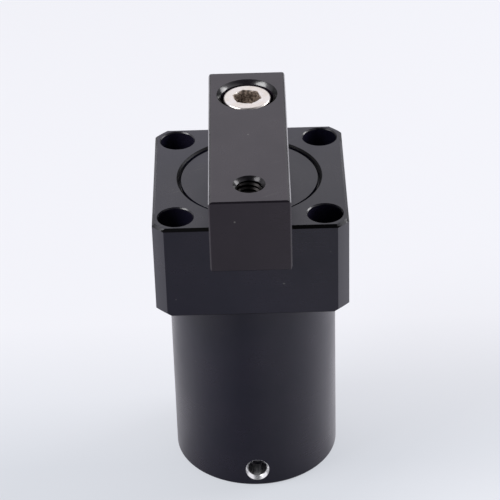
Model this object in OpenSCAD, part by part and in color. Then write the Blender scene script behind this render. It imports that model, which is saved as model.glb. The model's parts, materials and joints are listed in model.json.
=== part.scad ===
// Swing clamp cylinder: a flanged air cylinder whose rod turns the clamp arm as it rises.
// Millimetres. +Z is up along the rod, the origin is on the rod's axis at the flange's underside,
// and the arm points along -Y with the rod fully down.

/* [Flange] */
// Side of the square flange
flange_w = 40.5; // [40:0.5:60]
// Thickness of the flange
flange_t = 21.6; // [20:0.1:30]
// What the turned rim takes off a corner of the flange, along each side
corner_c = 2.4; // [1:0.1:3.5]
// Chamfer round the underside of that rim
rim_c = 0.8; // [0.3:0.1:1.2]
// Chamfer along the flange's upper edges
top_c = 0.6; // [0.2:0.1:1]
// Distance between the mounting hole centres
hole_pitch = 30.8; // [30:0.1:32]
// Clearance hole for a mounting screw
hole_d = 4.5; // [3.4:0.1:5]
// Counterbore for a mounting screw's head
hole_head_d = 7.2; // [6:0.1:7.6]
// Depth of that counterbore
hole_head_depth = 5.5; // [4:0.1:8]
// Chamfer round the mouth of that counterbore
hole_mouth_c = 0.25; // [0.1:0.05:0.4]

/* [Barrel] */
// Outside diameter of the barrel
barrel_d = 36; // [34:0.5:40]
// Length of the barrel below the flange
barrel_l = 47.7; // [46:0.1:60]
// Bore that the piston runs in
bore_d = 25; // [24:0.5:26]
// Thickness of the barrel's floor
floor_t = 3.3; // [2.5:0.1:3.5]
// Edge break at the flange's underside and the barrel's base
low_c = 0.3; // [0.1:0.1:0.6]

/* [Air ports] */
// Tapping drill of an air port
port_d = 4.2; // [3.8:0.1:5]
// Mouth of an air port's chamfer
port_mouth_d = 5.6; // [5.2:0.1:6.4]
// Depth of an air port's thread
port_depth = 4.5; // [3:0.1:4.8]
// Passage from a port to the bore
passage_d = 2.4; // [1.5:0.1:2.8]
// Height of the lower port above the base
low_port_h = 4.25; // [4:0.05:6]
// Height of the upper port above the flange's underside
high_port_h = 8; // [6:0.5:9]

/* [Rod cover] */
// Thread that screws the cover into the flange
cover_d = 30; // [29:0.5:31]
// Length of that thread
thread_l = 6; // [5:0.5:7]
// How far the cover's face lies below the flange's face
cover_drop = 0.5; // [0.2:0.1:1]
// Width of the rebate round the cover's face
rebate_w = 0.5; // [0.3:0.1:0.8]
// Depth of that rebate
rebate_d = 1.2; // [0.5:0.1:2]
// Chamfer round the mouth of the flange's thread
mouth_c = 0.4; // [0.2:0.1:0.6]
// Diameter of a spanner hole in the cover's face
spanner_d = 2.5; // [2:0.1:3]
// Depth of a spanner hole
spanner_depth = 3; // [2:0.1:4]
// Distance between the two spanner holes
spanner_pitch = 23; // [22:0.5:24]
// Length of the air gallery turned round the cover
gallery_l = 5; // [4:0.5:5.5]
// Depth of the air gallery
gallery_depth = 1.4; // [1:0.1:2]
// Width of an air slot down the cover's skirt
slot_w = 4; // [3:0.5:6]
// Metal left between two seats inside the cover
web_t = 1.3; // [1:0.1:1.6]
// Clearance round the rod where the cover doesn't guide it
rod_room = 0.2; // [0.1:0.05:0.4]

/* [Guide and seals] */
// Outside diameter of the rod wiper
wiper_d = 17; // [16:0.5:18]
// Height of the rod wiper's seat
wiper_h = 3.2; // [2.5:0.1:3.5]
// How far the wiper's lip stands out of the cover
wiper_lip = 0.8; // [0.4:0.1:1.2]
// Outside diameter of the rod seal
seal_d = 18; // [17:0.5:19]
// Height of the rod seal's groove
seal_h = 3; // [2.5:0.1:3.2]
// Wall of the rod's guide bush
bush_wall = 1.5; // [1:0.1:2]
// Section of the O-rings
ring_s = 1.5; // [1.2:0.1:1.6]
// Spare width of an O-ring's groove
ring_room = 0.4; // [0.2:0.1:0.5]

/* [Cam] */
// Travel of the rod
stroke = 14; // [10:0.5:15]
// Turn of the rod over its travel, degrees
swing = 90; // [45:5:90]
// Diameter of a guide pin
pin_d = 4; // [3:0.1:4.5]
// Height of the guide pins above the cover's lower end
pin_up = 8; // [6:0.5:9]
// Depth of a cam groove in the rod
groove_depth = 1.9; // [1.5:0.1:2.2]
// Clearance on each side of a guide pin in its groove
cam_gap = 0.15; // [0.1:0.05:0.3]
// Sections along a cam groove
groove_steps = 24; // [16:4:36]

/* [Rod] */
// Diameter of the piston rod
rod_d = 12; // [11:0.5:13]
// Diameter of the spigot that enters the arm
spigot_d = 10; // [9:0.5:10.5]
// Width across the spigot's two flats
spigot_flats = 8; // [7.5:0.1:9]
// Height of the spigot
spigot_h = 4.2; // [3:0.1:4.5]
// Diameter of the journal that the piston turns on
journal_d = 8; // [7.5:0.1:9]
// Edge break at the ends of the rod
rod_c = 0.4; // [0.2:0.1:0.6]

/* [Piston] */
// Height of the piston
piston_h = 12; // [12:0.5:14]
// Chamfer at the piston's ends
piston_c = 0.5; // [0.3:0.1:0.8]
// Depth of the piston seal's groove
piston_seal_depth = 3.4; // [2.5:0.1:3.6]
// Height of the piston seal's groove
piston_seal_h = 3; // [2.5:0.1:3.2]
// Distance of the seal's groove below the piston's top
piston_seal_drop = 2.2; // [1.5:0.1:2.4]
// Thickness of the wear ring
wear_t = 1.2; // [0.8:0.1:1.6]
// Height of the wear ring
wear_h = 4; // [3:0.1:4.4]
// Distance of the wear ring above the piston's bottom
wear_up = 1.5; // [1:0.1:1.8]
// Cut that lets the wear ring open
wear_cut = 0.8; // [0.5:0.1:1.5]
// Thickness of a thrust washer
washer_t = 1; // [0.8:0.1:1.2]
// Depth of the nut's recess in the piston
nut_recess_depth = 5; // [4.8:0.1:5.2]
// Width across the flats of the nut
nut_af = 10; // [9:0.5:11]
// Height of the nut
nut_h = 5; // [4:0.1:5.2]
// Thread of the nut and of the rod's tail
nut_thread_d = 5; // [4.5:0.1:5.5]
// Room round the nut for a socket
nut_room = 1.2; // [0.8:0.1:1.4]
// How far the rod's tail comes through the nut
tail_end = 0.4; // [0.2:0.1:0.6]

/* [Bumpers] */
// Outside diameter of a bumper
bumper_od = 21; // [20:0.5:22]
// Inside diameter of a bumper
bumper_id = 15.4; // [15:0.1:17]
// Thickness of a bumper
bumper_t = 3; // [2.5:0.1:3.5]
// Depth of a bumper's seat
bumper_seat = 0.8; // [0.5:0.1:1.2]

/* [Arm] */
// Width of the arm
arm_w = 16; // [14.5:0.5:20]
// Height of the arm
arm_h = 16; // [15:0.5:20]
// Reach of the arm in front of the rod's axis
arm_front = 41.75; // [36:0.25:60]
// Length of the arm behind the rod's axis
arm_rear = 9.25; // [8.5:0.25:14]
// Gap between the flange and the arm with the rod down
arm_gap = 3.8; // [2:0.1:6]
// Rounding of the arm's long edges
arm_r = 0.9; // [0.3:0.1:1.5]
// Chamfer round the arm's ends
end_c = 0.3; // [0.1:0.1:0.8]
// Tapping drill of the contact bolt's thread
tip_d = 5; // [4:0.1:6.8]
// Mouth of that thread's chamfer
tip_mouth_d = 6.4; // [6:0.1:8]
// Distance of that thread from the arm's front end
tip_inset = 6.5; // [5:0.25:10]

/* [Arm screw] */
// Diameter of the screw's head
head_d = 10; // [9:0.1:10.5]
// Height of the screw's head
head_h = 6; // [5:0.1:6.5]
// How far the head lies below the arm's face
head_drop = 0.6; // [0.3:0.1:1]
// Clearance round the head in its counterbore
head_room = 0.5; // [0.2:0.1:0.6]
// Chamfer round the counterbore
head_mouth_c = 0.8; // [0.3:0.1:0.8]
// Width across the flats of the hexagon socket
socket_af = 5; // [4:0.1:5.5]
// Depth of the hexagon socket
socket_depth = 2.2; // [2:0.1:3.5]
// Chamfer round the mouth of the socket
socket_mouth_c = 0.3; // [0.1:0.05:0.4]
// Turn of the hexagon socket about the screw's axis, degrees
socket_turn = -14; // [-30:1:30]
// Rounding of the head's upper edge
head_r = 0.6; // [0.3:0.1:0.8]
// Shank of the screw
screw_d = 6; // [5.5:0.1:6.3]
// Tapping drill of the screw's thread in the rod
screw_thread_d = 5; // [4.5:0.1:5.3]
// Length of the screw under its head
screw_l = 16; // [14:1:20]
// Clearance round the screw's shank in the arm
shank_room = 0.3; // [0.2:0.1:0.5]
// Spare depth of the screw's hole in the rod
hole_spare = 2; // [1:0.5:4]

/* [Clearances] */
// Radial clearance of a running fit
run_gap = 0.05; // [0.02:0.01:0.1]
// Clearance of a piece in its own seat
seat_gap = 0.05; // [0.02:0.01:0.1]
// Axial float of the piston between its thrust washers
float_gap = 0.05; // [0.02:0.01:0.1]
// Gap left between the piston and a bumper at each end of the travel
stop_gap = 0.3; // [0.2:0.05:0.5]

/* [Hidden] */
$fn = 96;

black = [0.13, 0.13, 0.15];
black_steel = [0.16, 0.16, 0.18];
bright_steel = [0.75, 0.74, 0.72];
ground_steel = [0.6, 0.6, 0.62];
bronze = [0.65, 0.48, 0.25];
rubber = [0.07, 0.07, 0.07];
green_rubber = [0.2, 0.35, 0.25];
cut = 1;

// Radii
bore_r = bore_d / 2;
barrel_r = barrel_d / 2;
rod_r = rod_d / 2;
journal_r = journal_d / 2;
cover_r = cover_d / 2;
skirt_r = bore_r - run_gap;
piston_r = bore_r - run_gap;
bush_r = rod_r + run_gap + bush_wall;

// Heights of the barrel, the piston and the bumpers, from the base up
base_z = -barrel_l;
floor_z = base_z + floor_t;
low_port_z = base_z + low_port_h;
low_bumper_z = floor_z - bumper_seat;
piston_z = low_bumper_z + bumper_t + stop_gap;
piston_top = piston_z + piston_h;
high_bumper_z = piston_top + stroke + stop_gap;
skirt_z = high_bumper_z + bumper_t - bumper_seat;

// Heights of the cover and of what it holds, from its face down
cover_top = flange_t - cover_drop;
shoulder_z = cover_top - thread_l;
gallery_top = high_port_h + gallery_l / 2;
gallery_z = high_port_h - gallery_l / 2;
cover_ring_z = (shoulder_z + gallery_top) / 2;
wiper_z = cover_top - wiper_h;
seal_top = wiper_z - web_t;
seal_z = seal_top - seal_h;
bush_top = seal_z - web_t;

// The cam: a pin at each side, fixed in the cover's skirt
pin_z = skirt_z + pin_up;
bush_z = pin_z + pin_d / 2 + web_t;
groove_r = rod_r - groove_depth;
groove_w = pin_d + 2 * cam_gap;
cam_arc = rod_r * swing * PI / 180;
end_over = 0.1;

// Heights on the rod's tail, from the piston's top down
upper_washer_z = piston_top - washer_t;
recess_top = piston_z + nut_recess_depth;
journal_z = recess_top - float_gap;
lower_washer_z = journal_z - washer_t;
nut_z = lower_washer_z - nut_h;
tail_z = nut_z - tail_end;
piston_ring_z = (upper_washer_z + recess_top) / 2;
nut_recess_d = nut_af / cos(30) + 2 * nut_room;

// Heights on the arm
arm_z = flange_t + arm_gap;
arm_top = arm_z + arm_h;
spigot_top = arm_z + spigot_h;
spigot_room = 0.3;
head_top = arm_top - head_drop;
head_z = head_top - head_h;
tip_y = tip_inset - arm_front;
head_bore_d = head_d + 2 * head_room;

// A ring of any section, given as [radius, height] points
module turned(points) {
    rotate_extrude() polygon(points);
}

// A plain ring from height z0 to z1
module ring(r_in, r_out, z0, z1) {
    turned([[r_in, z0], [r_out, z0], [r_out, z1], [r_in, z1]]);
}

module o_ring(r, z) {
    rotate_extrude() translate([r, z]) circle(d = ring_s);
}

// A lip seal: a ring with a V notch in its lower face
module lip_seal(r_in, r_out, z0, z1) {
    mid = (r_in + r_out) / 2;
    notch_w = (r_out - r_in) / 6;
    notch_h = (z1 - z0) / 2;
    turned([
        [r_in, z0], [mid - notch_w, z0], [mid, z0 + notch_h], [mid + notch_w, z0],
        [r_out, z0], [r_out, z1 - notch_w], [r_out - notch_w, z1],
        [r_in + notch_w, z1], [r_in, z1 - notch_w]
    ]);
}

// A cylinder from height z0 to z1
module rod_between(d, z0, z1) {
    translate([0, 0, z0]) cylinder(d = d, h = z1 - z0);
}

// The chamfer cut round the mouth of a hole of diameter d in a face at height z, seen from above
module mouth(d, c, z) {
    translate([0, 0, z - c]) cylinder(d1 = d, d2 = d + 2 * (c + cut), h = c + cut);
}

// A prism along Y between two sides of the flange, with its upper and lower edges broken
module edge_prism() {
    half = flange_w / 2;
    rotate([90, 0, 0]) linear_extrude(2 * flange_w, center = true) polygon([
        [low_c - half, 0], [half - low_c, 0], [half, low_c], [half, flange_t - top_c],
        [half - top_c, flange_t], [top_c - half, flange_t], [-half, flange_t - top_c], [-half, low_c]
    ]);
}

// The round blank that the flange is milled from, whose rim stays at the corners
module flange_blank() {
    rim_r = norm([flange_w / 2, flange_w / 2 - corner_c]);
    turned([
        [0, 0], [rim_r - rim_c, 0], [rim_r, rim_c],
        [rim_r, flange_t - top_c], [rim_r - top_c, flange_t], [0, flange_t]
    ]);
}

module flange_block() {
    intersection() {
        flange_blank();
        edge_prism();
        rotate(90) edge_prism();
    }
}

module barrel() {
    turned([
        [0, base_z], [barrel_r - low_c, base_z], [barrel_r, base_z + low_c], [barrel_r, cut], [0, cut]
    ]);
}

// A mounting hole with its counterbore, on the Z axis
module mounting_hole() {
    rod_between(hole_d, -cut, flange_t);
    rod_between(hole_head_d, flange_t - hole_head_depth, flange_t + cut);
    mouth(hole_head_d, hole_mouth_c, flange_t);
}

// A tapped air port that enters along +Y from a face at y = 0, with its passage
module air_port(passage_l) {
    port_c = (port_mouth_d - port_d) / 2;
    rotate([-90, 0, 0]) {
        rod_between(passage_d, 0, passage_l);
        rod_between(port_d, -cut, port_depth);
        mirror([0, 0, 1]) mouth(port_d, port_c, 0);
    }
}

// One piece: flange, barrel and floor, bored from above
module body() {
    half_pitch = hole_pitch / 2;
    color(black) difference() {
        union() {
            flange_block();
            barrel();
        }
        rod_between(bore_d, floor_z, flange_t);
        ring(bumper_id / 2 - seat_gap, bumper_od / 2 + seat_gap, low_bumper_z, floor_z + cut);
        rod_between(cover_d, shoulder_z, flange_t + cut);
        mouth(cover_d, mouth_c, flange_t);
        for (x = [-half_pitch, half_pitch], y = [-half_pitch, half_pitch])
            translate([x, y, 0]) mounting_hole();
        translate([0, -barrel_r, low_port_z]) air_port(barrel_r - bore_r + cut);
        translate([0, flange_w / 2, high_port_h]) rotate(180) air_port(flange_w / 2 - bore_r + cut);
    }
}

// The cover's outside: thread, O-ring land, air gallery and skirt
module cover_blank() {
    head_r = cover_r - seat_gap;
    gallery_r = skirt_r - gallery_depth;
    ring_floor = skirt_r - ring_s - seat_gap;
    half_groove = (ring_s + ring_room) / 2;
    turned([
        [0, skirt_z], [skirt_r, skirt_z], [skirt_r, gallery_z], [gallery_r, gallery_z],
        [gallery_r, gallery_top], [skirt_r, gallery_top], [skirt_r, cover_ring_z - half_groove],
        [ring_floor, cover_ring_z - half_groove], [ring_floor, cover_ring_z + half_groove],
        [skirt_r, cover_ring_z + half_groove], [skirt_r, shoulder_z], [head_r, shoulder_z],
        [head_r, cover_top - rebate_d], [head_r - rebate_w, cover_top - rebate_d],
        [head_r - rebate_w, cover_top], [0, cover_top]
    ]);
}

module rod_cover() {
    slot_floor = skirt_r - gallery_depth;
    color(black_steel) difference() {
        cover_blank();
        rod_between(rod_d + 2 * rod_room, skirt_z - cut, cover_top + cut);
        rod_between(wiper_d, wiper_z, cover_top + cut);
        rod_between(seal_d, seal_z, seal_top);
        rod_between(2 * (bush_r + seat_gap), bush_z, bush_top);
        ring(bumper_id / 2 - seat_gap, bumper_od / 2 + seat_gap, skirt_z - cut, skirt_z + bumper_seat);
        translate([0, 0, pin_z]) rotate([0, 90, 0])
            cylinder(d = pin_d + 2 * seat_gap, h = 2 * bore_d, center = true);
        for (side = [-1, 1]) {
            translate([0, side * spanner_pitch / 2, 0])
                rod_between(spanner_d, cover_top - spanner_depth, cover_top + cut);
            translate([-slot_w / 2, side > 0 ? slot_floor : -slot_floor - bore_d, skirt_z - cut])
                cube([slot_w, bore_d, gallery_z + cut - skirt_z + cut]);
        }
    }
}

module rod_wiper() {
    outer = wiper_d / 2 - seat_gap;
    inner = rod_r + wiper_lip;
    tip = rod_r + run_gap;
    color(rubber) turned([
        [inner, wiper_z], [outer, wiper_z], [outer, cover_top], [inner + wiper_lip, cover_top],
        [inner, cover_top + wiper_lip], [tip, cover_top + wiper_lip], [inner, cover_top - wiper_lip]
    ]);
}

module rod_seal() {
    color(green_rubber) lip_seal(rod_r + run_gap, seal_d / 2 - seat_gap, seal_z + seat_gap, seal_top - seat_gap);
}

module rod_bush() {
    color(bronze) ring(rod_r + run_gap, bush_r, bush_z, bush_top - seat_gap);
}

module cover_o_ring() {
    color(rubber) o_ring(skirt_r - ring_s / 2, cover_ring_z);
}

// A guide pin along +X, from inside its groove to where its rim meets the outside of the skirt
module guide_pin() {
    tip = groove_r + cam_gap;
    tail = sqrt(pow(skirt_r, 2) - pow(pin_d / 2, 2));
    translate([0, 0, pin_z]) rotate([0, 90, 0]) turned([
        [0, tip], [pin_d / 2 - cam_gap, tip], [pin_d / 2, tip + cam_gap],
        [pin_d / 2, tail - cam_gap], [pin_d / 2 - cam_gap, tail], [0, tail]
    ]);
}

module guide_pin_left() {
    color(ground_steel) rotate(180) guide_pin();
}

module guide_pin_right() {
    color(ground_steel) guide_pin();
}

module bumper(z) {
    ring(bumper_id / 2, bumper_od / 2, z, z + bumper_t);
}

module upper_bumper() {
    color(green_rubber) bumper(high_bumper_z);
}

module lower_bumper() {
    color(green_rubber) bumper(low_bumper_z);
}

module piston() {
    seal_top_z = piston_top - piston_seal_drop;
    seal_floor = piston_r - piston_seal_depth;
    wear_z = piston_z + wear_up;
    wear_floor = piston_r - wear_t - seat_gap;
    ring_r = journal_r + run_gap + ring_s + seat_gap;
    color(ground_steel) difference() {
        turned([
            [0, piston_z], [piston_r - piston_c, piston_z], [piston_r, piston_z + piston_c],
            [piston_r, piston_top - piston_c], [piston_r - piston_c, piston_top], [0, piston_top]
        ]);
        rod_between(journal_d + 2 * run_gap, piston_z, piston_top);
        rod_between(rod_d + 2 * run_gap, upper_washer_z - float_gap, piston_top + cut);
        rod_between(nut_recess_d, piston_z - cut, recess_top);
        rod_between(2 * ring_r, piston_ring_z - (ring_s + ring_room) / 2, piston_ring_z + (ring_s + ring_room) / 2);
        ring(seal_floor, bore_r, seal_top_z - piston_seal_h, seal_top_z);
        ring(wear_floor, bore_r, wear_z, wear_z + wear_h + 2 * seat_gap);
    }
}

module piston_seal() {
    top = piston_top - piston_seal_drop - seat_gap;
    color(green_rubber) lip_seal(
        piston_r - piston_seal_depth + seat_gap, piston_r, top - piston_seal_h + 2 * seat_gap, top
    );
}

module wear_ring() {
    z = piston_z + wear_up + seat_gap;
    color(bronze) difference() {
        ring(piston_r - wear_t, piston_r, z, z + wear_h);
        translate([piston_r, 0, z + wear_h / 2]) rotate([45, 0, 0])
            cube([4 * wear_t, wear_cut, 4 * wear_h], center = true);
    }
}

module piston_o_ring() {
    color(rubber) o_ring(journal_r + run_gap + ring_s / 2, piston_ring_z);
}

// The rod's turned outline: tail thread, journal, rod and spigot
module rod_blank() {
    tail_r = nut_thread_d / 2 - seat_gap;
    turned([
        [0, tail_z], [tail_r - rod_c, tail_z], [tail_r, tail_z + rod_c], [tail_r, journal_z],
        [journal_r, journal_z], [journal_r, piston_top], [rod_r, piston_top],
        [rod_r, arm_z], [0, arm_z]
    ]);
    intersection() {
        turned([
            [0, arm_z - cut], [spigot_d / 2, arm_z - cut], [spigot_d / 2, spigot_top - rod_c],
            [spigot_d / 2 - rod_c, spigot_top], [0, spigot_top]
        ]);
        translate([0, 0, arm_z]) cube([spigot_flats, 2 * spigot_d, 4 * spigot_h], center = true);
    }
}

// Four corners of a cam groove's section, part t of the way from its upper end
function cam_section(start, t) =
    let (
        turn = start - swing * t,
        out = [cos(turn), sin(turn), 0],
        along = [-sin(turn), cos(turn), 0],
        side = (stroke * along - cam_arc * [0, 0, 1]) / norm([stroke, cam_arc]) * groove_w / 2,
        low = out * groove_r + [0, 0, pin_z - stroke * t],
        high = out * (rod_r + cut) + [0, 0, pin_z - stroke * t]
    )
    [low - side, low + side, high + side, high - side];

// A helical cam groove that starts at an angle round the rod, with a drilled round at each end
module cam_groove(start) {
    last = 4 * groove_steps;
    points = [for (i = [0 : groove_steps]) each cam_section(start, i / groove_steps)];
    sides = [
        for (i = [0 : 4 : last - 4], k = [0 : 3])
            let (a = i + k, b = i + (k + 1) % 4)
            each [[a, b + 4, b], [a, a + 4, b + 4]]
    ];
    ends = [[0, 1, 2], [0, 2, 3], [last + 3, last + 2, last + 1], [last + 3, last + 1, last]];
    polyhedron(points, concat(sides, ends));
    for (t = [0, 1])
        translate([0, 0, pin_z - stroke * t]) rotate([0, 90, start - swing * t])
            translate([0, 0, groove_r - end_over])
                cylinder(d = groove_w + end_over, h = rod_d);
}

module piston_rod() {
    thread_z = head_z - screw_l - hole_spare;
    color(ground_steel) difference() {
        rod_blank();
        rod_between(screw_thread_d, thread_z, spigot_top + cut);
        cam_groove(0);
        cam_groove(180);
    }
}

module thrust_washer(z) {
    ring(journal_r + seat_gap, rod_r, z, z + washer_t);
}

module upper_thrust_washer() {
    color(bronze) thrust_washer(upper_washer_z);
}

// Clamped against the journal's end by the nut
module lower_thrust_washer() {
    color(bronze) ring(nut_thread_d / 2 + seat_gap, rod_r, lower_washer_z, journal_z);
}

module piston_nut() {
    color(bright_steel) difference() {
        translate([0, 0, nut_z]) cylinder(d = nut_af / cos(30), h = nut_h, $fn = 6);
        rod_between(nut_thread_d, nut_z - cut, lower_washer_z + cut);
    }
}

// The arm's section: a square bar with its long edges rounded, drawn round the origin
module bar_section() {
    inner_w = arm_w - 2 * arm_r;
    inner_h = arm_h - 2 * arm_r;
    square([arm_w, inner_h], center = true);
    square([inner_w, arm_h], center = true);
    for (x = [-inner_w / 2, inner_w / 2], y = [-inner_h / 2, inner_h / 2])
        translate([x, y]) circle(r = arm_r);
}

// An outline from the arm's front to its rear end, w across, with its corners cut
module end_outline(w) {
    half = w / 2;
    polygon([
        [end_c - half, -arm_front], [half - end_c, -arm_front], [half, end_c - arm_front],
        [half, arm_rear - end_c], [half - end_c, arm_rear], [end_c - half, arm_rear],
        [-half, arm_rear - end_c], [-half, end_c - arm_front]
    ]);
}

module arm_bar() {
    mid_z = arm_z + arm_h / 2;
    length = arm_front + arm_rear;
    intersection() {
        translate([0, arm_rear, mid_z]) rotate([90, 0, 0]) linear_extrude(length) bar_section();
        translate([0, 0, mid_z]) linear_extrude(2 * arm_h, center = true) end_outline(arm_w);
        translate([0, 0, mid_z]) rotate([0, 90, 0])
            linear_extrude(2 * arm_w, center = true) end_outline(arm_h);
    }
}

module clamp_arm() {
    tip_c = (tip_mouth_d - tip_d) / 2;
    color(black_steel) difference() {
        arm_bar();
        rod_between(head_bore_d, head_z, arm_top + cut);
        mouth(head_bore_d, head_mouth_c, arm_top);
        rod_between(screw_d + 2 * shank_room, arm_z, head_z + cut);
        intersection() {
            rod_between(spigot_d + 2 * seat_gap, arm_z - cut, spigot_top + spigot_room);
            translate([0, 0, arm_z])
                cube([spigot_flats + 2 * seat_gap, 2 * spigot_d, 4 * spigot_h], center = true);
        }
        translate([0, tip_y, 0]) {
            rod_between(tip_d, arm_z - cut, arm_top + cut);
            mouth(tip_d, tip_c, arm_top);
            translate([0, 0, arm_z]) mirror([0, 0, 1]) mouth(tip_d, tip_c, 0);
        }
    }
}

// Socket head cap screw; its shank is full size in the arm and at its thread's core in the rod
module arm_screw() {
    head_half = head_d / 2;
    shank = screw_d / 2;
    core = screw_thread_d / 2 - seat_gap;
    core_top = spigot_top + spigot_room;
    end_z = head_z - screw_l;
    color(bright_steel) difference() {
        union() {
            turned([
                [0, end_z], [core - rod_c, end_z], [core, end_z + rod_c], [core, core_top],
                [shank, core_top], [shank, head_z], [head_half, head_z],
                [head_half, head_top - head_r], [0, head_top - head_r]
            ]);
            rotate_extrude() intersection() {
                union() {
                    translate([head_half - head_r, head_top - head_r]) circle(r = head_r);
                    translate([0, head_z]) square([head_half - head_r, head_h]);
                }
                translate([0, head_top - head_r - cut]) square([head_d, head_r + 2 * cut]);
            }
        }
        rotate(socket_turn) translate([0, 0, head_top - socket_depth])
            cylinder(d = socket_af / cos(30), h = socket_depth + cut, $fn = 6);
        mouth(socket_af, socket_mouth_c, head_top);
    }
}

body();
rod_cover();
rod_wiper();
rod_seal();
rod_bush();
cover_o_ring();
guide_pin_left();
guide_pin_right();
upper_bumper();
lower_bumper();
piston();
piston_seal();
wear_ring();
piston_o_ring();
piston_rod();
upper_thrust_washer();
lower_thrust_washer();
piston_nut();
clamp_arm();
arm_screw();
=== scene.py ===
import json
import math

import bpy
from mathutils import Matrix, Vector


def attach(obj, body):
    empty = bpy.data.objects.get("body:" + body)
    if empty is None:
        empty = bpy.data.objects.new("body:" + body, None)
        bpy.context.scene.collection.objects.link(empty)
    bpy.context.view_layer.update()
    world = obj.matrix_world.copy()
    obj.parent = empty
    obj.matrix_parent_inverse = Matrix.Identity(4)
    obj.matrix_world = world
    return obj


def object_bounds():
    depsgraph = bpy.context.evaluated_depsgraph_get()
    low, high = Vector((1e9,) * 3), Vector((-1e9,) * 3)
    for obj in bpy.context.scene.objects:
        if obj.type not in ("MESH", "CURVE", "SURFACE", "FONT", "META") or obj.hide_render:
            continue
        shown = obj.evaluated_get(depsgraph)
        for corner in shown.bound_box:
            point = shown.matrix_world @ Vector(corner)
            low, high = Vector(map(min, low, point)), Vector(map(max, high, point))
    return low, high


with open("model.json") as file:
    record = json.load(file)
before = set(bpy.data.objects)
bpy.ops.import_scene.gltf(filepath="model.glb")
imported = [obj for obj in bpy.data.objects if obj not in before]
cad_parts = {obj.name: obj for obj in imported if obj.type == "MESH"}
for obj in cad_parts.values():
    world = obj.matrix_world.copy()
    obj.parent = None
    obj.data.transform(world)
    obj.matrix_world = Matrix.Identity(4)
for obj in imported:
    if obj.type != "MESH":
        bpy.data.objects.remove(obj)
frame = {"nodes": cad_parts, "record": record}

cad_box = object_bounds()
nodes = frame["nodes"]
mounts = {row["name"]: row for row in frame["record"]["mounts"]}


def rgb(red, green, blue):
    return (red, green, blue, 1.0)


# Lengths are in metres, in the CAD model's frame: +Z up the rod, the arm towards -Y.
MM = 0.001
MICRON = 0.001 * MM

# Camera that was fitted to the photograph: focal length in pixels of a 500 pixel frame, angles in degrees.
FRAME_PX = 500
FOCAL_PX = 2263.0
SENSOR = 36.0
CAMERA_AZIMUTH = 0.181
CAMERA_ELEVATION = 33.477
CAMERA_ROLL = -1.671
CAMERA_DISTANCE = 490.0 * MM
CAMERA_ASIDE = 0.379 * MM
CAMERA_BELOW = -2.332 * MM
CAMERA_NEAREST = 10 * MM

# Two soft boxes of the same brightness: place, width and height.
LAMPS = {
    "lamp_right": ((0.52, 0.20, 0.27), 0.30, 0.26),
    "lamp_left": ((-0.41, -0.14, 0.45), 0.34, 0.24),
}
LAMP_RADIANCE = 7.5

# The room that lights the part: dark, with a pale wall behind the part and one on each side.
# A pair says where a wall begins and where it is in full, along one axis of the direction it is seen in.
BACKDROP = rgb(0.87, 0.875, 0.92)
ROOM_DARK = rgb(0.06, 0.06, 0.065)
ROOM_PALE = rgb(0.965, 0.95, 0.995)
ROOM_STRENGTH = 1.08
REAR_WALL_Y = (-0.2, 0.5)
REAR_WALL_Z = (0.08, 0.34)
SIDE_WALL_X = (0.15, 0.5)
SIDE_WALL_Y = (0.55, 0.15)
SIDE_WALL_Z = (0.85, 0.6)
SIDE_WALL_SHARE = 0.9

# The floor: painted shade makes it greyest in front of the part and less grey to its right. No light or
# shadow changes the plain share of its colour.
FLOOR_HALF = 2.0
FLOOR_GAP = 0.02 * MM
FLOOR_FRONT_SHADE = rgb(0.71, 0.735, 0.785)
FLOOR_RIGHT_SHADE = rgb(0.82, 0.84, 0.89)
FLOOR_FRONT_FADE = (-10 * MM, 45 * MM)
FLOOR_RIGHT_FADE = (40 * MM, 85 * MM)
FLOOR_PLAIN = 0.7

# The floor in the part's reflections is a painted reflection: dim in front, a little brighter to the right in
# front, pale at the sides and behind, with painted shade near the part's foot.
# A pair of brightnesses goes with the pair of distances, or of directions, between which it changes.
MIRROR_BLACK = rgb(0.0, 0.0, 0.0)
MIRROR_PALE = rgb(0.945, 0.93, 1.0)
MIRROR_FRONT = (0.29, 0.50)
MIRROR_FRONT_REACH = (40 * MM, 140 * MM)
MIRROR_SKEW = (-0.09, 0.11)
MIRROR_SKEW_REACH = (-15 * MM, 15 * MM)
MIRROR_SIDES = (0.80, 1.0)
MIRROR_SIDES_X = (-0.95, -0.5)
MIRROR_FRONT_TO_SIDES_Y = (-1.0, -0.1)
MIRROR_FOOT_SHADE = (0.85, 1.0)
MIRROR_FOOT_SHADE_REACH = (18 * MM, 30 * MM)

# An edge at which a solid turns by more than EDGE_ANGLE is rounded by EDGE_BREAK.
WELD_REACH = 1.0 * MICRON
EDGE_BREAK = 0.12 * MM
EDGE_ANGLE = math.radians(30)
EDGE_SEGMENTS = 2
NORMAL_WEIGHT = 90

# Threads are ridges on the walls of the tapped holes, in steps per turn.
# The start below the chamfer and the half widths of foot and crest are in pitches, the taper in turns.
MOUTH_CHAMFER = 0.7 * MM
THREAD_STEPS = 60
THREAD_SINK = 0.02 * MM
THREAD_START = 0.45
THREAD_TAPER = 1.0 / 3.0
THREAD_FOOT = 0.42
THREAD_CREST = 0.08
THREAD_SMOOTH = math.radians(35)

# The screw's hexagon socket: half its width across the flats, the dark rim round it, and its turn in degrees.
SOCKET_HALF = 2.5 * MM
SOCKET_RIM = 0.2 * MM
SOCKET_TURN = -14.0

# Places with a look of their own: distances from the rod's axis, and from the axis of a hole in the arm.
COVER_SEAT_RADIUS = 17 * MM
CORNER_RADIUS = 24 * MM
FLANGE_RIM = 0.75 * MM
FLANGE_INSIDE = cad_box[1][0] - FLANGE_RIM
HEAD_REACH = 7 * MM
TIP_REACH = 4 * MM

# Where a tapped hole's look changes, by its chamfer: across from the wall, or down from the mouth.
PORT_MARGIN = 1.2 * MOUTH_CHAMFER
PORT_WALL_DEPTH = (MOUTH_CHAMFER, 1.3 * MOUTH_CHAMFER)
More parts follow.
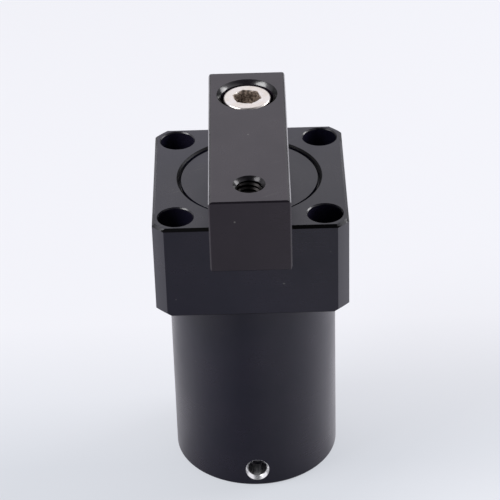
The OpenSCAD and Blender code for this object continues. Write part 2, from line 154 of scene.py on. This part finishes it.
# Painted shade in the arm's tapped hole begins and is in full between these depths.
HOLE_SHADE_DEPTH = (0.6 * MOUTH_CHAMFER, 1.2 * MOUTH_CHAMFER)

# Which way a face looks, by one component of its normal.
# A pair says where a mask starts and where it is in full.
LEVEL_FACE = (0.6, 0.8)
UPRIGHT_FACE = (0.4, 0.2)
OBLIQUE_FACE = (0.3, 0.5)
FORWARD_FACE = (-0.25, -0.45)
EDGE_OFF_UPRIGHT = (0.15, 0.35)
EDGE_OFF_LEVEL = (0.97, 0.9)
PORT_SLOPE = (0.95, 0.86)
SIDEWAYS = 0.5
LENGTHWAYS = 0.6

# Tool marks: lines by the metre, across and along, and the detail and roughness of their noise.
LINES = 4200.0
FINE_LINES = 5200.0
GROUND_LINES = 9000.0
ALONG_LINES = 24.0
STRAIGHT_NOISE = (3.0, 0.6)
ROUND_NOISE = (2.0, 0.6)

# Grain and patches: how many by the metre, and the detail and roughness of their noise.
BLACK_GRAIN = (5200.0, 2.0, 0.6)
BLACK_PATCH = (110.0, 3.0, 0.55)
BARE_GRAIN = (4800.0, 2.0, 0.6)
BARE_PATCH = (240.0, 3.0, 0.55)
PLATE_PATCH = (420.0, 3.0, 0.55)
OIL_GRAIN = (2000.0, 3.0, 0.65)

# Noise mostly lies in NOISE_RANGE. A relief has a share of tool marks, and the rest is grain.
NOISE_RANGE = (0.3, 0.7)
BLACK_MARKS = 0.6
BARE_MARKS = 0.65
BUMP_STRENGTH = 0.6

# The two blacks: anodised alloy leans to blue, oxidised steel to red.
BODY_DARK = rgb(0.0062, 0.0066, 0.0175)
BODY_LIGHT = rgb(0.0115, 0.0100, 0.0215)
ARM_DARK = rgb(0.0120, 0.0076, 0.0145)
ARM_LIGHT = rgb(0.0158, 0.0106, 0.0180)
# Painted shade: the black that edges are painted towards.
EDGE_SHADE_BLACK = rgb(0.004, 0.004, 0.005)
# Painted shade: the black of places that are made to mirror less.
SHADE_BLACK = rgb(0.012, 0.012, 0.013)
# The alloy bared where the air ports were cut.
BARE_ALLOY = rgb(0.90, 0.90, 0.91)

# How the blacks shine: the least and most polish of their edges, and the roughness of edges and polish.
BODY_GLINT = (0.0, 0.2)
BODY_EDGE_ROUGH = 0.26
BODY_COAT_ROUGH = 0.11
ARM_GLINT = (0.5, 1.0)
ARM_EDGE_ROUGH = 0.20
ARM_COAT_ROUGH = 0.19
GLINT_PATCHES = (0.35, 0.65)
COAT_IOR = 1.5
BLACK_LIFT = 0.7 * MICRON

# The roughness of the blacks' faces: what lines and grain make of it, and what the patches add.
SATIN_FINE = (0.27, 0.32)
SATIN_BROAD = (0.025, -0.025)

# The shares and roughness of what wear and cutting did to the blacks, and of the painted shade on their
# edges, chamfers and holes.
EDGE_SHADE_SHARE = 0.6
RIM_POLISH = 0.5
CORNER_SHADE_SHARE = 0.5
DULL_ROUGH = 0.42
TIP_SHADE = 0.4
PORT_WALL_BARE = 0.6
BARE_METALLIC = 0.8
BARE_ROUGH = 0.2

# Dust specks and hairline scuffs on the blacks.
SPECK_COLOUR = rgb(0.12, 0.117, 0.113)
SPECK_SPACING = 3.2 * MM
SPECK_SIZE = 0.24 * MM
SPECK_SHARE = 0.1
SPECK_FAINTEST = 0.2
SCUFF_COLOUR = rgb(0.07, 0.07, 0.07)
SCUFF_SHARE = 0.6
SCUFF_TURN = math.radians(62)
SCUFF_LINES = (5200.0, 170.0, 170.0)
SCUFF_LINES_RANGE = (0.66, 0.74)
SCUFF_GROUPS = (90.0, 90.0, 90.0)
SCUFF_GROUPS_RANGE = (0.5, 0.62)

# The screw's plating and the oil in its socket.
PLATE_DARK = rgb(0.74, 0.68, 0.62)
PLATE_LIGHT = rgb(0.82, 0.79, 0.78)
PLATE_ROUGH = (0.20, 0.32)
PLATE_LIFT = 1.2 * MICRON
OIL_DARK = rgb(0.060, 0.043, 0.031)
OIL_LIGHT = rgb(0.48, 0.38, 0.31)
OIL_RANGE = (0.42, 0.68)
OIL_ROUGH = 0.5

# The other finishes by material slot: name, two colours to mottle, and the range of the roughness.
BARE_LIFT = 1.5 * MICRON
BARE_FINISHES = {
    "hardened_steel": dict(name="ground_steel", dark=rgb(0.56, 0.56, 0.58), light=rgb(0.63, 0.63, 0.64),
                           rough=(0.12, 0.22), side=GROUND_LINES),
    "piston_metal": dict(name="turned_alloy", dark=rgb(0.60, 0.60, 0.62), light=rgb(0.68, 0.68, 0.69),
                         rough=(0.22, 0.36)),
    "bronze": dict(name="sintered_bronze", dark=rgb(0.48, 0.32, 0.15), light=rgb(0.58, 0.40, 0.20),
                   rough=(0.36, 0.52), lift=3.0 * MICRON),
    "wear_plastic": dict(name="filled_plastic", dark=rgb(0.26, 0.19, 0.12), light=rgb(0.34, 0.25, 0.16),
                         rough=(0.45, 0.60), metallic=0.0),
    "seal_rubber": dict(name="polyurethane", dark=rgb(0.03, 0.09, 0.05), light=rgb(0.05, 0.12, 0.07),
                        rough=(0.40, 0.55), metallic=0.0),
    "oiled_thread": dict(name="oiled_thread", dark=rgb(0.016, 0.015, 0.015), light=rgb(0.022, 0.020, 0.020),
                         rough=(0.34, 0.44)),
    "black_rubber": dict(name="nitrile", dark=rgb(0.016, 0.016, 0.017), light=rgb(0.024, 0.024, 0.025),
                         rough=(0.50, 0.66), metallic=0.0),
}


class TappedHole:
    """A tapped hole, worked out from its mount, with its thread's pitch and the height of its ridge."""

    def __init__(self, mount, pitch, ridge, through=False):
        row = mounts[mount]
        outward = Vector(row["axis"])
        length = row["dims"]["length_mm"] * MM
        self.mouth = Vector(row["pos_m"]) + outward * (0.5 * length + MOUTH_CHAMFER)
        self.inward = -outward
        self.radius = row["dims"]["r_mm"] * MM
        self.depth = length + MOUTH_CHAMFER * (2 if through else 1)
        self.pitch = pitch
        self.ridge = ridge


ARM_HOLE = TappedHole("arm_tip_thread", 1.0 * MM, 0.32 * MM, through=True)
LOWER_PORT = TappedHole("lower_port", 0.8 * MM, 0.1 * MM)
UPPER_PORT = TappedHole("upper_port", 0.8 * MM, 0.1 * MM)
THREADS = {"arm_thread": ARM_HOLE, "lower_port_thread": LOWER_PORT, "upper_port_thread": UPPER_PORT}


class Graph:
    """One node tree. An input is a plain value or another node's output."""

    def __init__(self, owner):
        owner.use_nodes = True
        self.owner = owner
        self.tree = owner.node_tree
        self.tree.nodes.clear()

    def add(self, kind, inputs=None, **settings):
        node = self.tree.nodes.new(kind)
        for key, value in settings.items():
            setattr(node, key, value)
        for key, value in (inputs or {}).items():
            self.feed(node.inputs[key], value)
        return node

    def feed(self, socket, value):
        if isinstance(value, bpy.types.NodeSocket):
            self.tree.links.new(value, socket)
        else:
            socket.default_value = value

    def math(self, operation, *values):
        return self.add("ShaderNodeMath", dict(enumerate(values)), operation=operation).outputs[0]

    def product(self, first, *others):
        for other in others:
            first = self.math("MULTIPLY", first, other)
        return first

    def highest(self, first, *others):
        for other in others:
            first = self.math("MAXIMUM", first, other)
        return first

    def absolute(self, value):
        return self.math("ABSOLUTE", value)

    def inverse(self, mask):
        return self.math("SUBTRACT", 1.0, mask)

    def vector(self, operation, *values):
        node = self.add("ShaderNodeVectorMath", dict(enumerate(values)), operation=operation)
        return node.outputs["Value" if operation in ("LENGTH", "DISTANCE", "DOT_PRODUCT") else "Vector"]

    def flat(self, vector):
        """The vector without its height."""
        return self.vector("MULTIPLY", vector, (1.0, 1.0, 0.0))

    def split(self, vector):
        return self.add("ShaderNodeSeparateXYZ", {0: vector}).outputs

    def noise(self, vector, scale, detail, rough=0.5):
        stretched = self.vector("MULTIPLY", vector, scale)
        inputs = {"Vector": stretched, "Scale": 1.0, "Detail": detail, "Roughness": rough}
        return self.add("ShaderNodeTexNoise", inputs).outputs["Fac"]

    def spread(self, value, start, end, low=0.0, high=1.0):
        """Goes from low to high while the value goes from start to end."""
        inputs = {"Value": value, "From Min": start, "From Max": end, "To Min": low, "To Max": high}
        return self.add("ShaderNodeMapRange", inputs).outputs["Result"]

    def mix(self, factor, first, second):
        """Mixes two numbers."""
        return self.add("ShaderNodeMix", {0: factor, 2: first, 3: second}, data_type="FLOAT").outputs[0]

    def blend(self, factor, first, second):
        """Mixes two colours."""
        return self.add("ShaderNodeMix", {0: factor, 6: first, 7: second}, data_type="RGBA").outputs[2]

    def close(self, kind, shader):
        """Ends the tree in a shader."""
        self.feed(self.add(kind).inputs["Surface"], shader)

    def close_with_two(self, kind, factor, first, second):
        """Ends the tree in a mix of two shaders."""
        mixed = self.add("ShaderNodeMixShader", {0: factor, 1: first, 2: second})
        self.close(kind, mixed.outputs[0])


def link(thing):
    bpy.context.collection.objects.link(thing)
    return thing


def place_camera():
    azimuth = math.radians(CAMERA_AZIMUTH)
    elevation = math.radians(CAMERA_ELEVATION)
    roll = math.radians(CAMERA_ROLL)
    back = Vector((math.sin(azimuth) * math.cos(elevation),
                   -math.cos(azimuth) * math.cos(elevation),
                   math.sin(elevation)))
    level = Vector((math.cos(azimuth), math.sin(azimuth), 0.0))
    above = back.cross(level)
    right = math.cos(roll) * level + math.sin(roll) * above
    up = -math.sin(roll) * level + math.cos(roll) * above
    spot = back * CAMERA_DISTANCE - right * CAMERA_ASIDE - up * CAMERA_BELOW
    data = bpy.data.cameras.new("camera")
    data.sensor_width = SENSOR
    data.lens = FOCAL_PX / FRAME_PX * SENSOR
    data.clip_start = CAMERA_NEAREST
    camera = link(bpy.data.objects.new("camera", data))
    turn = Matrix((right, up, back)).transposed().to_4x4()
    camera.matrix_world = Matrix.Translation(spot) @ turn
    bpy.context.scene.camera = camera


def add_lamp(name, spot, width, height):
    """A soft box that faces the part, with the same brightness all over."""
    data = bpy.data.lights.new(name, "AREA")
    data.shape = "RECTANGLE"
    data.size = width
    data.size_y = height
    data.energy = LAMP_RADIANCE * math.pi * width * height
    lamp = link(bpy.data.objects.new(name, data))
    lamp.location = spot
    lamp.visible_camera = False
    lamp.rotation_euler = (-Vector(spot)).to_track_quat("-Z", "Y").to_euler()


def room_walls(graph):
    """1 in the directions of the pale walls, 0 in the rest of the room."""
    way = graph.split(graph.add("ShaderNodeTexCoord").outputs["Generated"])
    rear = graph.product(graph.spread(way["Y"], *REAR_WALL_Y), graph.spread(way["Z"], *REAR_WALL_Z))
    ahead = graph.product(graph.spread(way["Y"], *SIDE_WALL_Y), graph.spread(way["Z"], *SIDE_WALL_Z))
    beside = graph.spread(graph.absolute(way["X"]), *SIDE_WALL_X, 0.0, SIDE_WALL_SHARE)
    return graph.highest(rear, graph.product(beside, ahead))


def light_studio():
    """The room and its two soft boxes. The camera sees an even backdrop instead of the room."""
    world = bpy.data.worlds.new("studio")
    bpy.context.scene.world = world
    graph = Graph(world)
    room = graph.blend(room_walls(graph), ROOM_DARK, ROOM_PALE)
    felt = graph.add("ShaderNodeBackground", {"Color": room, "Strength": ROOM_STRENGTH}).outputs[0]
    seen = graph.add("ShaderNodeBackground", {"Color": BACKDROP}).outputs[0]
    camera_ray = graph.add("ShaderNodeLightPath").outputs["Is Camera Ray"]
    graph.close_with_two("ShaderNodeOutputWorld", camera_ray, felt, seen)
    for name, (spot, width, height) in LAMPS.items():
        add_lamp(name, spot, width, height)


# Painted shade: the floor is greyer in front of the part and less grey to its right front.
def shaded_floor_colour(graph, place):
    rearward = graph.spread(place["Y"], *FLOOR_FRONT_FADE)
    rightward = graph.spread(graph.math("SUBTRACT", place["X"], place["Y"]), *FLOOR_RIGHT_FADE)
    return graph.blend(rightward, graph.blend(rearward, FLOOR_FRONT_SHADE, BACKDROP), FLOOR_RIGHT_SHADE)


def painted_floor_reflection(graph, spot, place):
    """Painted reflection: the floor's colour in the part's reflections, with painted shade near the part's
    foot.
    """
    flat = graph.flat(spot)
    apart = graph.vector("LENGTH", flat)
    heading = graph.split(graph.vector("NORMALIZE", flat))
    dim = graph.spread(apart, *MIRROR_FRONT_REACH, *MIRROR_FRONT)
    skew = graph.spread(place["X"], *MIRROR_SKEW_REACH, *MIRROR_SKEW)
    sides = graph.spread(heading["X"], *MIRROR_SIDES_X, *MIRROR_SIDES)
    sideways = graph.spread(heading["Y"], *MIRROR_FRONT_TO_SIDES_Y)
    around = graph.mix(sideways, graph.math("ADD", dim, skew), sides)
    foot_shade = graph.spread(apart, *MIRROR_FOOT_SHADE_REACH, *MIRROR_FOOT_SHADE)
    return graph.blend(graph.product(around, foot_shade), MIRROR_BLACK, MIRROR_PALE)


def floor_paper():
    """Pale paper on which the part's shadow is faint."""
    graph = Graph(bpy.data.materials.new("floor_paper"))
    spot = graph.add("ShaderNodeTexCoord").outputs["Object"]
    place = graph.split(spot)
    path = graph.add("ShaderNodeLightPath").outputs
    colour = shaded_floor_colour(graph, place)
    lit = graph.add("ShaderNodeBsdfDiffuse", {"Color": colour}).outputs[0]
    # Painted reflection: glossy rays see the floor glow in the colour of the painted reflection.
    glow = graph.blend(path["Is Glossy Ray"], colour, painted_floor_reflection(graph, spot, place))
    plain = graph.add("ShaderNodeEmission", {"Color": glow}).outputs[0]
    straight = graph.highest(path["Is Camera Ray"], path["Is Transmission Ray"])
    share = graph.highest(graph.product(straight, FLOOR_PLAIN), path["Is Glossy Ray"])
    graph.close_with_two("ShaderNodeOutputMaterial", share, lit, plain)
    return graph.owner


def lay_floor():
    level = cad_box[0][2] - FLOOR_GAP
    corners = [(x * FLOOR_HALF, y * FLOOR_HALF, level) for x, y in ((-1, -1), (1, -1), (1, 1), (-1, 1))]
    mesh = bpy.data.meshes.new("floor")
    mesh.from_pydata(corners, [], [(0, 1, 2, 3)])
    mesh.materials.append(floor_paper())
    floor = link(bpy.data.objects.new("floor", mesh))


class Finish(Graph):
    """A material for the part, in the part's own coordinates."""

    def __init__(self, name):
        super().__init__(bpy.data.materials.new(name))
        coord = self.add("ShaderNodeTexCoord")
        self.place = coord.outputs["Object"]
        self.facing = self.split(coord.outputs["Normal"])

    def level_mask(self):
        """1 on level faces, 0 on upright ones."""
        return self.spread(self.absolute(self.facing["Z"]), *LEVEL_FACE)

    def edge_mask(self):
        """1 on chamfers and rounded edges between level and upright faces."""
        tilt = self.absolute(self.facing["Z"])
        return self.product(self.spread(tilt, *EDGE_OFF_UPRIGHT), self.spread(tilt, *EDGE_OFF_LEVEL))

    def axis_distance(self):
        return self.vector("LENGTH", self.flat(self.place))

    def near_hole(self, centre, reach):
        """1 round an upright hole, at any height."""
        apart = self.vector("DISTANCE", self.flat(self.place), (centre[0], centre[1], 0.0))
        return self.math("LESS_THAN", apart, reach)

    def in_hole(self, hole):
        """The distance from a tapped hole's axis, and the depth below its mouth."""
        offset = self.vector("SUBTRACT", self.place, hole.mouth)
        crossways = [1.0 - abs(step) for step in hole.inward]
        aside = self.vector("LENGTH", self.vector("MULTIPLY", offset, crossways))
        return aside, self.vector("DOT_PRODUCT", offset, hole.inward)

    def even_noise(self, scale, detail, rough):
        return self.noise(self.place, (scale,) * 3, detail, rough)

    def straight_lines(self, *counts):
        return self.noise(self.place, counts, *STRAIGHT_NOISE)

    def round_lines(self, count):
        radius = self.product(self.axis_distance(), count)
        detail, rough = ROUND_NOISE
        inputs = {"W": radius, "Scale": 1.0, "Detail": detail, "Roughness": rough}
        return self.add("ShaderNodeTexNoise", inputs, noise_dimensions="1D").outputs["Fac"]

    def tool_marks(self, top, side, turned):
        """Fine lines: straight or round on level faces, and round the axis on upright ones."""
        above = self.round_lines(top) if turned else self.straight_lines(top, ALONG_LINES, ALONG_LINES)
        beside = self.straight_lines(ALONG_LINES, ALONG_LINES, side)
        return self.mix(self.level_mask(), beside, above)

    def add_up(self, first, share, second):
        """A share of the first and the rest of the second."""
        return self.math("ADD", self.product(first, share), self.product(second, 1.0 - share))

    def shade(self, colour, roughness, height, lift, settings):
        """Ends the tree in a shader with a fine relief."""
        bump = self.add("ShaderNodeBump", {"Height": height, "Strength": BUMP_STRENGTH, "Distance": lift})
        inputs = {"Base Color": colour, "Roughness": roughness, "Normal": bump.outputs["Normal"]}
        inputs.update(settings)
        shader = self.add("ShaderNodeBsdfPrincipled", inputs)
        self.close("ShaderNodeOutputMaterial", shader.outputs["BSDF"])
        return self.owner


class BlackFinish(Finish):
    """Black anodised or oxidised metal: satin, faintly mottled, polished by handling on its edges, which are
    also painted darker as shade.
    """

    def __init__(self, name, dark, light, glint, edge_rough, turned=False):
        super().__init__(name)
        marks = self.tool_marks(LINES, LINES, turned)
        patch = self.even_noise(*BLACK_PATCH)
        self.edges = self.edge_mask()
        self.surface = self.add_up(marks, BLACK_MARKS, self.even_noise(*BLACK_GRAIN))
        self.colour = self.mottled(patch, dark, light)
        self.roughness = self.mix(self.edges, self.satin(patch), edge_rough)
        self.polish = self.product(self.edges, self.spread(patch, *GLINT_PATCHES, *glint))
        self.metallic = 0.0

    def mottled(self, patch, dark, light):
        colour = self.blend(self.spread(patch, *NOISE_RANGE), dark, light)
        colour = self.blend(self.specks(), colour, SPECK_COLOUR)
        colour = self.blend(self.scuffs(), colour, SCUFF_COLOUR)
        # Painted shade: chamfers and rounded edges are painted darker.
        return self.blend(self.product(self.edges, EDGE_SHADE_SHARE), colour, EDGE_SHADE_BLACK)

    def satin(self, patch):
        fine = self.spread(self.surface, *NOISE_RANGE, *SATIN_FINE)
        broad = self.spread(patch, *NOISE_RANGE, *SATIN_BROAD)
        return self.math("ADD", fine, broad)

    def specks(self):
        """A few dust specks, some fainter than others."""
        cells = self.add("ShaderNodeTexVoronoi", {"Vector": self.place, "Scale": 1.0 / SPECK_SPACING})
        reach = SPECK_SIZE / SPECK_SPACING
        near = self.spread(cells.outputs["Distance"], reach, 0.5 * reach)
        chance = self.split(cells.outputs["Color"])
        chosen = self.math("LESS_THAN", chance["X"], SPECK_SHARE)
        return self.product(near, chosen, self.spread(chance["Y"], 0.0, 1.0, SPECK_FAINTEST, 1.0))

    def scuffs(self):
        """Faint hairlines on level faces, in loose groups."""
        inputs = {"Vector": self.place, "Axis": (0.0, 0.0, 1.0), "Angle": SCUFF_TURN}
        turned = self.add("ShaderNodeVectorRotate", inputs, rotation_type="AXIS_ANGLE").outputs[0]
        lines = self.spread(self.noise(turned, SCUFF_LINES, 1.0), *SCUFF_LINES_RANGE)
        groups = self.spread(self.noise(turned, SCUFF_GROUPS, 2.0), *SCUFF_GROUPS_RANGE, 0.0, SCUFF_SHARE)
        return self.product(lines, groups, self.level_mask())

    def paint_shade(self, mask):
        """Paints shade: takes the shine off, as a black metal mirrors less than a black varnish."""
        self.colour = self.blend(mask, self.colour, SHADE_BLACK)
        self.metallic = mask

    def done(self, coat_rough):
        settings = {"Metallic": self.metallic, "Coat Weight": self.polish,
                    "Coat Roughness": coat_rough, "Coat IOR": COAT_IOR}
        return self.shade(self.colour, self.roughness, self.surface, BLACK_LIFT, settings)


def turned_rim(finish):
    """1 on the flange's corners, which were turned and not milled."""
    oblique = finish.math("MINIMUM", finish.absolute(finish.facing["X"]), finish.absolute(finish.facing["Y"]))
    outer = finish.math("GREATER_THAN", finish.axis_distance(), CORNER_RADIUS)
    upright = finish.spread(finish.absolute(finish.facing["Z"]), *UPRIGHT_FACE)
    return finish.product(finish.spread(oblique, *OBLIQUE_FACE), outer, upright)


def shaded_chamfers(finish):
    """Painted shade: 1 at the flange's chamfers round the cover, at the front and at the rear, half that at
    its corners.
    """
    seat = finish.math("LESS_THAN", finish.axis_distance(), COVER_SEAT_RADIUS)
    corner = finish.math("GREATER_THAN", finish.axis_distance(), CORNER_RADIUS)
    outer = finish.math("GREATER_THAN", finish.absolute(finish.split(finish.place)["Y"]), FLANGE_INSIDE)
    lengthways = finish.math("GREATER_THAN", finish.absolute(finish.facing["Y"]), LENGTHWAYS)
    return finish.highest(seat, finish.product(corner, CORNER_SHADE_SHARE), finish.product(outer, lengthways))


def bare_port(finish, port):
    """1 on an air port's mouth and less on its wall, which were cut after the body was blackened."""
    aside, depth = finish.in_hole(port)
    near = finish.math("LESS_THAN", aside, port.radius + PORT_MARGIN)
    within = finish.math("COMPARE", depth, 0.5 * port.depth, 0.5 * port.depth + MOUTH_CHAMFER)
    sloping = finish.spread(finish.absolute(finish.facing["Y"]), *PORT_SLOPE)
    shallow = finish.spread(depth, *PORT_WALL_DEPTH, 1.0, PORT_WALL_BARE)
    return finish.product(near, within, sloping, shallow)


def anodised_body():
    """The body's black, with polished corners, painted shade on its chamfers and bare air ports."""
    finish = BlackFinish("anodised_black", BODY_DARK, BODY_LIGHT, BODY_GLINT, BODY_EDGE_ROUGH)
    # Painted shade: these chamfers are made black and to mirror less.
    chamfer_shade = finish.product(finish.edges, shaded_chamfers(finish))
    bare = finish.highest(bare_port(finish, LOWER_PORT), bare_port(finish, UPPER_PORT))
    polish = finish.highest(finish.polish, finish.product(turned_rim(finish), RIM_POLISH))
    finish.polish = finish.product(polish, finish.inverse(chamfer_shade))
    finish.paint_shade(chamfer_shade)
    finish.colour = finish.blend(bare, finish.colour, BARE_ALLOY)
    finish.roughness = finish.mix(bare, finish.mix(chamfer_shade, finish.roughness, DULL_ROUGH), BARE_ROUGH)
    finish.metallic = finish.highest(chamfer_shade, finish.product(bare, BARE_METALLIC))
    return finish.done(BODY_COAT_ROUGH)


def anodised_cover():
    """The cover's black, with the round marks of a lathe."""
    finish = BlackFinish("anodised_turned", BODY_DARK, BODY_LIGHT, BODY_GLINT, BODY_EDGE_ROUGH, turned=True)
    return finish.done(BODY_COAT_ROUGH)


def shaded_hole_wall(finish):
    """Painted shade: 1 inside the arm's tapped hole, below its chamfer, where the thread's wall is made
    darker.
    """
    aside, depth = finish.in_hole(ARM_HOLE)
    near = finish.math("LESS_THAN", aside, ARM_HOLE.radius + MOUTH_CHAMFER)
    return finish.product(near, finish.spread(depth, *HOLE_SHADE_DEPTH))


def black_steel():
    """The arm's black, rubbed on its long edges and behind the screw's head, with painted shade in its tapped
    hole, on its counterbore's chamfer and at the hole's mouth.
    """
    finish = BlackFinish("black_oxide", ARM_DARK, ARM_LIGHT, ARM_GLINT, ARM_EDGE_ROUGH)
    head = finish.near_hole((0.0, 0.0), HEAD_REACH)
    tip = finish.near_hole(ARM_HOLE.mouth, TIP_REACH)
    sideways = finish.math("GREATER_THAN", finish.absolute(finish.facing["X"]), SIDEWAYS)
    forwards = finish.spread(finish.facing["Y"], *FORWARD_FACE)
    rubbed = finish.mix(head, sideways, forwards)
    finish.polish = finish.product(finish.polish, rubbed, finish.inverse(tip))
    # Painted shade: the counterbore's chamfer, except behind the head, and the tapped hole's mouth are made
    # to mirror less.
    shaded_mouths = finish.highest(finish.product(head, finish.inverse(forwards)), finish.product(tip, TIP_SHADE))
    finish.paint_shade(finish.highest(shaded_hole_wall(finish), finish.product(finish.edges, shaded_mouths)))
    return finish.done(ARM_COAT_ROUGH)


def bare_finish(name, dark, light, rough, side=LINES, metallic=1.0, lift=BARE_LIFT):
    """Bare or plated metal, plastic or rubber with its own grain."""
    finish = Finish(name)
    marks = finish.tool_marks(LINES, side, turned=True)
    surface = finish.add_up(marks, BARE_MARKS, finish.even_noise(*BARE_GRAIN))
    patch = finish.even_noise(*BARE_PATCH)
    colour = finish.blend(finish.spread(patch, *NOISE_RANGE), dark, light)
    roughness = finish.spread(surface, *NOISE_RANGE, *rough)
    return finish.shade(colour, roughness, surface, lift, {"Metallic": metallic})


def hexagon_socket(finish):
    """1 in the socket and on the rim round its mouth."""
    farthest = 0.0
    for side in range(3):
        angle = math.radians(SOCKET_TURN + 30.0 + 60.0 * side)
        across = finish.vector("DOT_PRODUCT", finish.place, (math.cos(angle), math.sin(angle), 0.0))
        farthest = finish.highest(finish.absolute(across), farthest)
    return finish.math("LESS_THAN", farthest, SOCKET_HALF + SOCKET_RIM)


def bright_plate():
    """Bright plating with a turned top and a dark, oily hexagon socket."""
    finish = Finish("bright_plate")
    marks = finish.tool_marks(FINE_LINES, LINES, turned=True)
    inside = hexagon_socket(finish)
    patch = finish.even_noise(*PLATE_PATCH)
    grime = finish.even_noise(*OIL_GRAIN)
    plate = finish.blend(finish.spread(patch, *NOISE_RANGE), PLATE_DARK, PLATE_LIGHT)
    oil = finish.blend(finish.spread(grime, *OIL_RANGE), OIL_DARK, OIL_LIGHT)
    colour = finish.blend(inside, plate, oil)
    roughness = finish.mix(inside, finish.spread(marks, *NOISE_RANGE, *PLATE_ROUGH), OIL_ROUGH)
    return finish.shade(colour, roughness, marks, PLATE_LIFT, {"Metallic": finish.inverse(inside)})


def make_finishes():
    finishes = {
        "anodised_body": anodised_body(),
        "anodised_cover": anodised_cover(),
        "black_steel": black_steel(),
        "bright_steel": bright_plate(),
    }
    for slot, values in BARE_FINISHES.items():
        finishes[slot] = bare_finish(**values)
    return finishes


def break_edges(part):
    """Rounds what sharp edges the solid has left, by less than its chamfers."""
    weld = part.modifiers.new("weld", "WELD")
    weld.merge_threshold = WELD_REACH
    bevel = part.modifiers.new("edge_break", "BEVEL")
    bevel.limit_method = "ANGLE"
    bevel.angle_limit = EDGE_ANGLE
    bevel.width = EDGE_BREAK
    bevel.segments = EDGE_SEGMENTS
    even = part.modifiers.new("even_normals", "WEIGHTED_NORMAL")
    even.weight = NORMAL_WEIGHT
    even.keep_sharp = False


def dress_nodes(finishes):
    """Gives each solid its finish and its rounded edges."""
    for row in frame["record"]["subparts"]:
        part = nodes[row["node"]]
        for slot in part.material_slots:
            slot.link = "OBJECT"
            slot.material = finishes[row["material_slot"]]
        break_edges(part)


def thread_points(hole):
    """Rows of four points across a helical ridge on the hole's wall, which tapers out at both ends."""
    across = hole.inward.orthogonal().normalized()
    around = hole.inward.cross(across)
    wall = hole.radius + THREAD_SINK
    first = MOUTH_CHAMFER + THREAD_START * hole.pitch
    turns = (hole.depth - 2.0 * first) / hole.pitch
    count = math.ceil(round(turns * THREAD_STEPS, 3))
    points = []
    for step in range(count + 1):
        turn = step / THREAD_STEPS
        from_end = min(step, count - step) / THREAD_STEPS
        crest = wall - (hole.ridge + THREAD_SINK) * min(1.0, from_end / THREAD_TAPER)
        angle = 2.0 * math.pi * turn
        out = math.cos(angle) * across + math.sin(angle) * around
        row = ((wall, -THREAD_FOOT), (crest, -THREAD_CREST), (crest, THREAD_CREST), (wall, THREAD_FOOT))
        for reach, shift in row:
            along = first + (turn + shift) * hole.pitch
            points.append(hole.mouth + hole.inward * along + out * reach)
    return points


def thread_mesh(name, hole):
    """The ridge as a closed mesh."""
    points = thread_points(hole)
    last = len(points) - 4
    faces = [(3, 2, 1, 0), (last, last + 1, last + 2, last + 3)]
    for start in range(0, last, 4):
        for side in range(4):
            here = start + side
            beside = start + (side + 1) % 4
            faces.append((here, beside, beside + 4, here + 4))
    mesh = bpy.data.meshes.new(name)
    mesh.from_pydata(points, [], faces)
    mesh.shade_smooth()
    mesh.set_sharp_from_angle(angle=THREAD_SMOOTH)
    return mesh


def cut_threads(finishes):
    """Adds the ridges as pieces that ride on the arm's body or on the cylinder's."""
    for name, hole in THREADS.items():
        piece = link(bpy.data.objects.new(name, thread_mesh(name, hole)))
        on_arm = name == "arm_thread"
        piece.data.materials.append(finishes["oiled_thread" if on_arm else "anodised_body"])
        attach(piece, "rod" if on_arm else "body")


bpy.context.scene.view_settings.view_transform = "Standard"
place_camera()
light_studio()
lay_floor()
finishes = make_finishes()
dress_nodes(finishes)
cut_threads(finishes)
